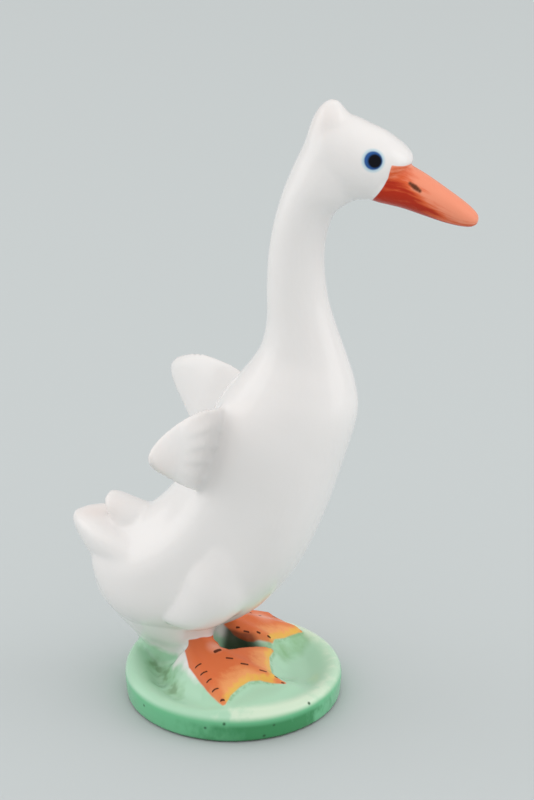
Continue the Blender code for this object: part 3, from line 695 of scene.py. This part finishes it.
# Where the bill's paint starts, ahead, at heights from the chin up to the corner under the brow
PAINT_HEIGHT = (108.0, 112.3, 115.0, 117.7, 119.3, 121.1, 124.0)
PAINT_AHEAD = (13.4, 13.8, 15.3, 17.1, 17.9, 18.3, 19.2)
BROW_CORNER = (18.7, 122.0)
BROW_SLOPE = 0.3            # how fast the paint's upper edge falls ahead of that corner
THROAT_HEIGHT = 100.0
below_brow = BROW_CORNER[1] - BROW_SLOPE * (ahead - BROW_CORNER[0]) - z
bill_paint = np.minimum(ahead - np.interp(z, PAINT_HEIGHT, PAINT_AHEAD), below_brow)
store("bill_paint", np.where(z > THROAT_HEIGHT, bill_paint, NOT_HERE))
bill_ahead, bill_top, bill_bottom, _ = zip(*bill_rows)
top_here = np.interp(ahead, bill_ahead, bill_top)
bottom_here = np.interp(ahead, bill_ahead, bill_bottom)
store("bill_along", ahead)
store("bill_down", np.clip((top_here - z) / (top_here - bottom_here), -0.2, 1.2))

# Edges where the glaze is thin and the clay's warmth shows: a place, how far round it, and how much
blushes = [
    (turned(5.0, -3.0, 130.0), 6.0, 0.5),
    (Vector((-31.0, 0.0, 38.0)), 6.0, 1.0),
    (Vector((-26.0, -3.0, 40.0)), 5.0, 0.6),
    (turned(-14.0, -14.0, 73.0), 9.0, 0.5),
    (turned(-26.0, -23.0, 64.0), 7.0, 0.8),
]
blush = np.zeros(len(x))
for centre, reach, amount in blushes:
    gap = np.linalg.norm(places - np.array(centre), axis=1)
    blush = np.maximum(blush, amount * (1.0 - smooth_step(gap, 0.0, reach)))
store("blush", blush)

# The middle of the base in the shared frame, from the solid's foot ring
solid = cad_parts["duck_figurine"].data
foot_ring = [vertex.co for vertex in solid.vertices if vertex.co.z < 0.1 * MM]
base_middle = Vector((0.0, 0.0, 0.0))
for axis in (0, 1):
    along = [point[axis] for point in foot_ring]
    base_middle[axis] = (min(along) + max(along)) / 2.0
duck.data.transform(Matrix.Translation(base_middle) @ Matrix.Scale(MM, 4))
duck.data.shade_smooth()

glaze = bpy.data.materials.new("painted_glaze")
glaze.use_nodes = True
tree = glaze.node_tree
shader = tree.nodes["Principled BSDF"]


def add(kind, **settings):
    """A new node with its settings."""
    node = tree.nodes.new(kind)
    for name, value in settings.items():
        setattr(node, name, value)
    return node


def feed(socket, value):
    """Links a socket to an output, or sets it to a plain value."""
    if isinstance(value, bpy.types.NodeSocket):
        tree.links.new(value, socket)
    elif socket.type == 'RGBA':
        socket.default_value = (*value, 1.0)
    else:
        socket.default_value = value


def calc(operation, *values):
    """The result of a Math node."""
    node = add("ShaderNodeMath", operation=operation)
    for socket, value in zip(node.inputs, values):
        feed(socket, value)
    return node.outputs[0]


def plus(first, second):
    """The sum of two values."""
    return calc('ADD', first, second)


def times(first, second):
    """The product of two values."""
    return calc('MULTIPLY', first, second)


def larger(first, second):
    """The larger of two values."""
    return calc('MAXIMUM', first, second)


def ramp(value, low, high, to_low=0.0, to_high=1.0):
    """A value mapped softly from one range to another."""
    node = add("ShaderNodeMapRange", interpolation_type='SMOOTHSTEP')
    for socket, setting in zip(node.inputs, (value, low, high, to_low, to_high)):
        feed(socket, setting)
    return node.outputs[0]


def blend(amount, under, over):
    """One colour laid over another."""
    node = add("ShaderNodeMix", data_type='RGBA')
    feed(node.inputs["Factor"], amount)
    feed(node.inputs["A"], under)
    feed(node.inputs["B"], over)
    return node.outputs["Result"]


def stored(name):
    """A value stored on the skin."""
    return add("ShaderNodeAttribute", attribute_name=name).outputs["Fac"]


def combined(*values):
    """A place from its coordinates."""
    node = add("ShaderNodeCombineXYZ")
    for socket, value in zip(node.inputs, values):
        feed(socket, value)
    return node.outputs[0]


def speckle(place, scale, detail=2.0, stretch=(1.0, 1.0, 1.0)):
    """Noise on a place in millimetres, from 0 to 1."""
    mapping = add("ShaderNodeMapping")
    feed(mapping.inputs["Vector"], place)
    mapping.inputs["Scale"].default_value = stretch
    texture = add("ShaderNodeTexNoise")
    feed(texture.inputs["Vector"], mapping.outputs["Vector"])
    texture.inputs["Scale"].default_value = scale
    texture.inputs["Detail"].default_value = detail
    return texture.outputs["Fac"]


# The place on the object in millimetres from the middle of the base, and its distance from the base's axis
from_base = add("ShaderNodeVectorMath", operation='SUBTRACT')
feed(from_base.inputs[0], add("ShaderNodeTexCoord").outputs["Object"])
from_base.inputs[1].default_value = base_middle
in_mm = add("ShaderNodeVectorMath", operation='SCALE')
feed(in_mm.inputs[0], from_base.outputs[0])
in_mm.inputs["Scale"].default_value = 1.0 / MM
here = in_mm.outputs[0]
split = add("ShaderNodeSeparateXYZ")
feed(split.inputs[0], here)
here_x, here_y, here_z = split.outputs
level_reach = add("ShaderNodeVectorMath", operation='LENGTH')
feed(level_reach.inputs[0], combined(here_x, here_y))
from_axis = level_reach.outputs["Value"]


def spot(middle, radius, edge):
    """1 within a ball round a place, 0 outside it."""
    node = add("ShaderNodeVectorMath", operation='DISTANCE')
    feed(node.inputs[0], here)
    node.inputs[1].default_value = middle
    return ramp(node.outputs["Value"], radius + edge, radius - edge)


def uneven(value, amount, scale, detail=2.0, low=0.3, stretch=(1.0, 1.0, 1.0)):
    """A value raised and lowered by noise, by the amount where the noise is past 1 - low or short of low."""
    return plus(value, ramp(speckle(here, scale, detail, stretch), low, 1.0 - low, -amount, amount))


# White glaze, duller in broad soft patches and a little warmer where it is thin on edges
WHITE = (0.830, 0.810, 0.800)
DULL_WHITE = (0.80, 0.785, 0.77)
BLUSH = (0.80, 0.66, 0.60)
color = blend(ramp(speckle(here, 0.12, 3.0), 0.4, 0.7, 0.0, 0.25), WHITE, DULL_WHITE)
color = blend(times(stored("blush"), 0.35), color, BLUSH)

# Green glaze on the ground: fuller in the hollows and in front of the left web, and dark down the valley's
# crease, where pooled glaze is deepened with painted shade
MINT = (0.42, 0.68, 0.49)
LEAF = (0.22, 0.43, 0.20)
CREASE_SHADE_GREEN = (0.10, 0.17, 0.06)
pooled = uneven(stored("hollow"), 0.12, 0.35, 4.0)
by_left_web = times(ramp(stored("web_gap"), 6.0, 1.0), ramp(here_y, 2.0, 7.0, 0.0, 0.9))
green = blend(ramp(plus(pooled, by_left_web), 0.20, 1.4), MINT, LEAF)
down_valley = uneven(stored("valley"), 1.0, 0.30)
# The valley's crease: pooled glaze deepened with painted shade
green = blend(ramp(down_valley, 2.6, 0.2, 0.0, 0.45), green, LEAF)
green = blend(ramp(down_valley, 1.0, -0.3, 0.0, 0.40), green, CREASE_SHADE_GREEN)

# Green glaze at the edge: paler on the rim in front, where the glaze is thin and a highlight is painted in,
# and deeper green down the wall there
THIN_GLAZE_HIGHLIGHT_GREEN = (0.68, 0.80, 0.63)
WALL_GREEN = (0.15, 0.50, 0.26)
DEEP_GREEN = (0.045, 0.27, 0.10)
# Nearly black green for painted shade: in the pit under the belly and along the foot of the wall
SHADE_GREEN = (0.028, 0.050, 0.024)
ALONG_FRONT = (0.95, 0.31)  # the way along which the glaze at the edge changes
sideways = plus(times(here_x, ALONG_FRONT[0]), times(here_y, ALONG_FRONT[1]))
sideways = uneven(sideways, 5.0, 0.35, 5.0, 0.2, (1.0, 1.0, 0.6))
# The paler rim in front: thin glaze with a painted highlight
thin_and_highlit = times(ramp(from_axis, base_radius - 4.5, base_radius - 1.8), ramp(sideways, -4.0, 5.0))
thin_and_highlit = times(thin_and_highlit, ramp(sideways, 22.0, 15.0, 0.4, 1.0))
green = blend(times(thin_and_highlit, 0.85), green, THIN_GLAZE_HIGHLIGHT_GREEN)
runs = times(times(ramp(sideways, -14.0, 3.0), ramp(sideways, 21.0, 14.0)), ramp(here_z, 5.0, 3.4))
at_wall = times(ramp(here_z, 5.9, 4.6), ramp(from_axis, base_radius - 1.6, base_radius - 0.6))
green = blend(at_wall, green, blend(runs, WALL_GREEN, DEEP_GREEN))
# Painted contact shadow: darker green along the foot of the wall, where the glaze ends
green = blend(ramp(here_z, 0.9, 0.2, 0.0, 0.6), green, SHADE_GREEN)
under_web = times(ramp(stored("foot_paint"), -1.3, -0.6), ramp(stored("web_gap"), 1.9, 0.9))
green = blend(times(under_web, ramp(speckle(here, 0.8), 0.35, 0.6, 0.1, 0.6)), green, LEAF)

# Dark specks in the green glaze
DEEP_SPECK = (0.020, 0.085, 0.035)
SPECK_RADIUS = 0.34
SPECK_EDGE = 0.22
SPECKS = ((-13.3, -18.7, 3.7), (20.1, -10.4, 5.5), (13.0, -18.8, 1.3), (14.7, -17.6, 3.5), (1.6, -22.9, 3.4),
          (5.5, -22.3, 4.6))
for speck in SPECKS:
    green = blend(spot(speck, SPECK_RADIUS, SPECK_EDGE), green, DEEP_SPECK)

# The green laid on up to its edge on the legs and the support, and in the pit between the feet painted shade,
# nearly black, for the shade under the belly over the green glaze pooled there
green_edge = uneven(stored("green_glaze"), 0.3, 0.5, low=0.2)
color = blend(ramp(green_edge, -0.8, 0.7), color, green)
color = blend(ramp(stored("pit"), 0.0, 1.0, 0.0, 0.96), color, SHADE_GREEN)

# Orange feet, lighter between the toes, yellow along the web's edge, with pale pink painted highlights where
# the orange is thin and painted brown shade under the belly
ORANGE = (0.70, 0.17, 0.060)
LIGHT_ORANGE = (0.83, 0.35, 0.13)
YELLOW = (0.80, 0.46, 0.090)
PINK = (0.87, 0.42, 0.30)
BROWN = (0.040, 0.012, 0.007)
# Pale pink spots, painted highlights where the orange is thin: a place, its radius and soft edge, and how
# much
THIN_ORANGE_HIGHLIGHTS = (
    ((-2.6, -4.8, 11.6), 1.5, 1.2, 0.95),
    ((1.8, 14.3, 10.3), 2.0, 1.6, 0.6),
)
strokes = speckle(here, 0.9, 3.0)
to_web = plus(stored("web_gap"), times(strokes, 3.0))
between = ramp(plus(stored("toe_gap"), times(strokes, 1.2)), 0.8, 2.4, 0.35, 1.0)
foot_color = blend(times(ramp(to_web, 6.5, 2.5), between), ORANGE, LIGHT_ORANGE)
at_web_edge = plus(stored("web_gap"), times(strokes, 2.0))
foot_color = blend(ramp(at_web_edge, 2.2, 0.9), foot_color, YELLOW)
# Painted highlights in pale pink, where the orange is thin
for place, radius, edge, amount in THIN_ORANGE_HIGHLIGHTS:
    foot_color = blend(times(spot(place, radius, edge), amount), foot_color, PINK)
# Painted shade: the left foot browned under the belly
foot_color = blend(ramp(stored("belly_shade"), 0.1, 0.9, 0.0, 0.65), foot_color, BROWN)
foot_mask = ramp(stored("foot_paint"), -0.50, -0.20)
color = blend(foot_mask, color, foot_color)

# Brown dashes on the toes, and a broad one on the right heel: place, direction in degrees and length
DASH_WIDTH = 0.38
HEEL_DASH_WIDTH = 1.8 * DASH_WIDTH
DASH_STRENGTH = 0.9
HEEL_DASH = (-1.5, -6.0, 50.0, 1.9)
TOE_DASHES = (
    (1.4, -6.7, 20.0, 1.6), (4.7, -6.6, 18.0, 1.7), (8.7, -6.2, 16.0, 1.6), (11.6, -6.1, 10.0, 0.8),
    (13.2, -6.6, 18.0, 0.7), (-3.9, -11.5, 42.0, 1.5), (-2.1, -13.1, 38.0, 1.6), (-0.4, -14.7, 50.0, 1.3),
    (1.6, -16.5, 36.0, 1.5), (3.8, -18.3, 20.0, 1.0), (-1.0, 14.0, 20.0, 1.0), (1.2, 14.6, 60.0, 0.8),
    (3.6, 17.6, 0.0, 1.2), (7.4, 17.2, -8.0, 1.2), (-1.0, 6.0, 10.0, 0.9), (1.0, 5.8, 12.0, 1.3),
    (3.4, 6.9, 10.0, 0.9), (5.6, 7.4, 10.0, 0.8),
)


def dash(at_x, at_y, direction, length, width):
    """1 on a short brush stroke seen from above, 0 beside it."""
    run_x, run_y = cos(radians(direction)), sin(radians(direction))
    off_x = calc('SUBTRACT', here_x, at_x)
    off_y = calc('SUBTRACT', here_y, at_y)
    along = calc('ABSOLUTE', plus(times(off_x, run_x), times(off_y, run_y)))
    across = calc('SUBTRACT', times(off_y, run_x), times(off_x, run_y))
    past = larger(calc('SUBTRACT', along, (length - width) / 2.0), 0.0)
    gap = calc('SQRT', plus(times(past, past), times(across, across)))
    return ramp(gap, width * 0.65, width * 0.35)


dashes = dash(*HEEL_DASH, HEEL_DASH_WIDTH)
for stroke in TOE_DASHES:
    dashes = larger(dashes, dash(*stroke, DASH_WIDTH))
color = blend(times(times(dashes, foot_mask), DASH_STRENGTH), color, BROWN)

# Orange-red bill with brush streaks along it, paler on top and towards the tip and darker towards its lower
# edge: the paint's own shades, with a painted highlight on top and painted shade below
BILL_PALE = (0.86, 0.30, 0.18)
BILL_ORANGE = (0.72, 0.125, 0.040)
BILL_RED = (0.46, 0.028, 0.008)
on_bill = combined(times(stored("bill_along"), 0.16), times(stored("bill_down"), 8.0), times(here_y, 0.2))
streaks = ramp(speckle(on_bill, 1.0, 4.0), 0.25, 0.75, -0.26, 0.26)
# Painted highlight on top and painted shade below, with the brush streaks
bill_shade_and_streaks = plus(plus(stored("bill_down"), streaks), times(stored("bill_along"), -0.05))
bill_color = blend(ramp(bill_shade_and_streaks, -1.15, -0.70), BILL_PALE, BILL_ORANGE)
bill_color = blend(ramp(bill_shade_and_streaks, -0.80, -0.42), bill_color, BILL_RED)
bill_mask = ramp(stored("bill_paint"), -0.12, 0.12)
color = blend(bill_mask, color, bill_color)

# Nostrils, one short stroke on each side, thinner towards its ends
NOSTRIL_BROWN = (0.13, 0.040, 0.018)
NOSTRIL = (23.1, 4.2, 117.2)    # ahead, aside and height of its middle
NOSTRIL_RUN = (0.95, -0.72)     # ahead and upward from there to one end
NOSTRIL_RADIUS = 0.52
NOSTRIL_TAPER = 0.18
for side in (-1.0, 1.0):
    for step in (-1.0, -0.5, 0.0, 0.5, 1.0):
        at = turned(NOSTRIL[0] + NOSTRIL_RUN[0] * step, side * NOSTRIL[1], NOSTRIL[2] + NOSTRIL_RUN[1] * step)
        color = blend(spot(at, NOSTRIL_RADIUS - NOSTRIL_TAPER * abs(step), 0.28), color, NOSTRIL_BROWN)

# Eyes: a pale blue ring, a blue iris and a black pupil set forward in it
EYE = (15.1, 6.9, 123.2)        # ahead, aside and height
PUPIL = (15.4, 6.9, 123.1)
IRIS_RADIUS = 1.80
# Place, radius, soft edge and colour
EYE_PAINTS = (
    (EYE, 2.25, 0.35, (0.50, 0.66, 0.74)),
    (EYE, IRIS_RADIUS, 0.20, (0.025, 0.10, 0.32)),
    (PUPIL, 1.36, 0.28, (0.004, 0.004, 0.008)),
)
painted = larger(larger(bill_mask, foot_mask), ramp(stored("pit"), 0.0, 1.0))
for side in (-1.0, 1.0):
    for (forward, outward, height), radius, edge, paint in EYE_PAINTS:
        color = blend(spot(turned(forward, side * outward, height), radius, edge), color, paint)
    painted = larger(painted, spot(turned(EYE[0], side * EYE[1], EYE[2]), IRIS_RADIUS, 0.3))

# Gloss: a clear coat over white and green, none over the painted places, and a bare matt foot ring
GLAZE_ROUGHNESS = 0.24
BARE_ROUGHNESS = 0.7
COAT = 0.6
feed(shader.inputs["Base Color"], color)
bare = times(ramp(here_z, 1.0, 0.5), ramp(from_axis, base_radius - 0.5, base_radius - 0.9))
feed(shader.inputs["Roughness"], ramp(bare, 0.0, 1.0, GLAZE_ROUGHNESS, BARE_ROUGHNESS))
feed(shader.inputs["Coat Weight"], ramp(painted, 0.0, 1.0, COAT, 0.0))
shader.inputs["Coat Roughness"].default_value = 0.12
shader.inputs["Specular IOR Level"].default_value = 0.18
shader.inputs["Subsurface Weight"].default_value = 0.12
shader.inputs["Subsurface Radius"].default_value = (1.0, 0.9, 0.8)
shader.inputs["Subsurface Scale"].default_value = 1.2 * MM
bump = add("ShaderNodeBump")
bump.inputs["Distance"].default_value = 0.06 * MM
bump.inputs["Strength"].default_value = 0.35
feed(bump.inputs["Height"], speckle(here, 0.45, 3.0))
feed(shader.inputs["Normal"], bump.outputs["Normal"])
duck.data.materials.clear()
duck.data.materials.append(glaze)
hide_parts("duck_figurine")
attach(duck, "root")

# Floor
# A plain pale studio sweep, which only carries the object's shadow.

FLOOR_SIZE = 6.0            # metres
BACKDROP = (0.514, 0.554, 0.560)

bm = bmesh.new()
bmesh.ops.create_grid(bm, x_segments=1, y_segments=1, size=FLOOR_SIZE / 2.0)
floor_mesh = bpy.data.meshes.new("floor")
bm.to_mesh(floor_mesh)
bm.free()
floor = bpy.data.objects.new("floor", floor_mesh)
bpy.context.scene.collection.objects.link(floor)
paper = bpy.data.materials.new("pale_paper")
paper.use_nodes = True
paper_shader = paper.node_tree.nodes["Principled BSDF"]
paper_shader.inputs["Base Color"].default_value = (*BACKDROP, 1.0)
paper_shader.inputs["Roughness"].default_value = 0.9
floor_mesh.materials.append(paper)

# Lamps
# A bright tent: even light all round, soft lamps from the left and from above, and a strip on the right.
# The tent is dimmer in reflections, which keeps the glaze from looking chalky.

TENT_LIGHT = 1.03
TENT_IN_GLOSS = 0.40
AIM = Vector((0.0, 0.0, 0.06))


def lamp(name, at, size, tall, watts):
    """A rectangular soft lamp aimed at the middle of the bird."""
    light = bpy.data.lights.new(name, 'AREA')
    light.shape = 'RECTANGLE'
    light.size = size
    light.size_y = tall
    light.energy = watts
    holder = bpy.data.objects.new(name, light)
    holder.location = at
    holder.rotation_euler = (AIM - Vector(at)).to_track_quat('-Z', 'Y').to_euler()
    bpy.context.scene.collection.objects.link(holder)


lamp("left_soft_lamp", (-0.85, -0.12, 0.38), 0.7, 0.8, 1.35)
lamp("top_soft_lamp", (-0.10, 0.10, 1.0), 0.9, 0.9, 0.2)
lamp("right_strip_lamp", (0.75, 0.20, 0.35), 0.60, 0.8, 1.4)
world = bpy.data.worlds.new("tent")
world.use_nodes = True
sky = world.node_tree.nodes["Background"]
sky.inputs["Color"].default_value = (1.0, 0.99, 0.98, 1.0)
path = world.node_tree.nodes.new("ShaderNodeLightPath")
dimmed = world.node_tree.nodes.new("ShaderNodeMapRange")
dimmed.inputs["To Min"].default_value = TENT_LIGHT
dimmed.inputs["To Max"].default_value = TENT_IN_GLOSS
world.node_tree.links.new(path.outputs["Is Glossy Ray"], dimmed.inputs["Value"])
world.node_tree.links.new(dimmed.outputs["Result"], sky.inputs["Strength"])
bpy.context.scene.world = world

# Camera
# A long lens, a little above the bird and a little to its right of square.

# Metres from the middle of the base
eye_at = Vector((0.1581, -0.4631, 0.2793))
look_at = Vector((-0.0008, 0.0257, 0.0569))
camera_data = bpy.data.cameras.new("camera")
camera_data.sensor_fit = 'VERTICAL'
camera_data.sensor_height = 36.0
camera_data.lens = 117.0
camera_data.clip_start = 0.01
camera = bpy.data.objects.new("camera", camera_data)
camera.location = eye_at + base_middle
camera.rotation_euler = (look_at - eye_at).to_track_quat('-Z', 'Y').to_euler()
bpy.context.scene.collection.objects.link(camera)
bpy.context.scene.camera = camera
bpy.context.scene.view_settings.view_transform = 'Standard'
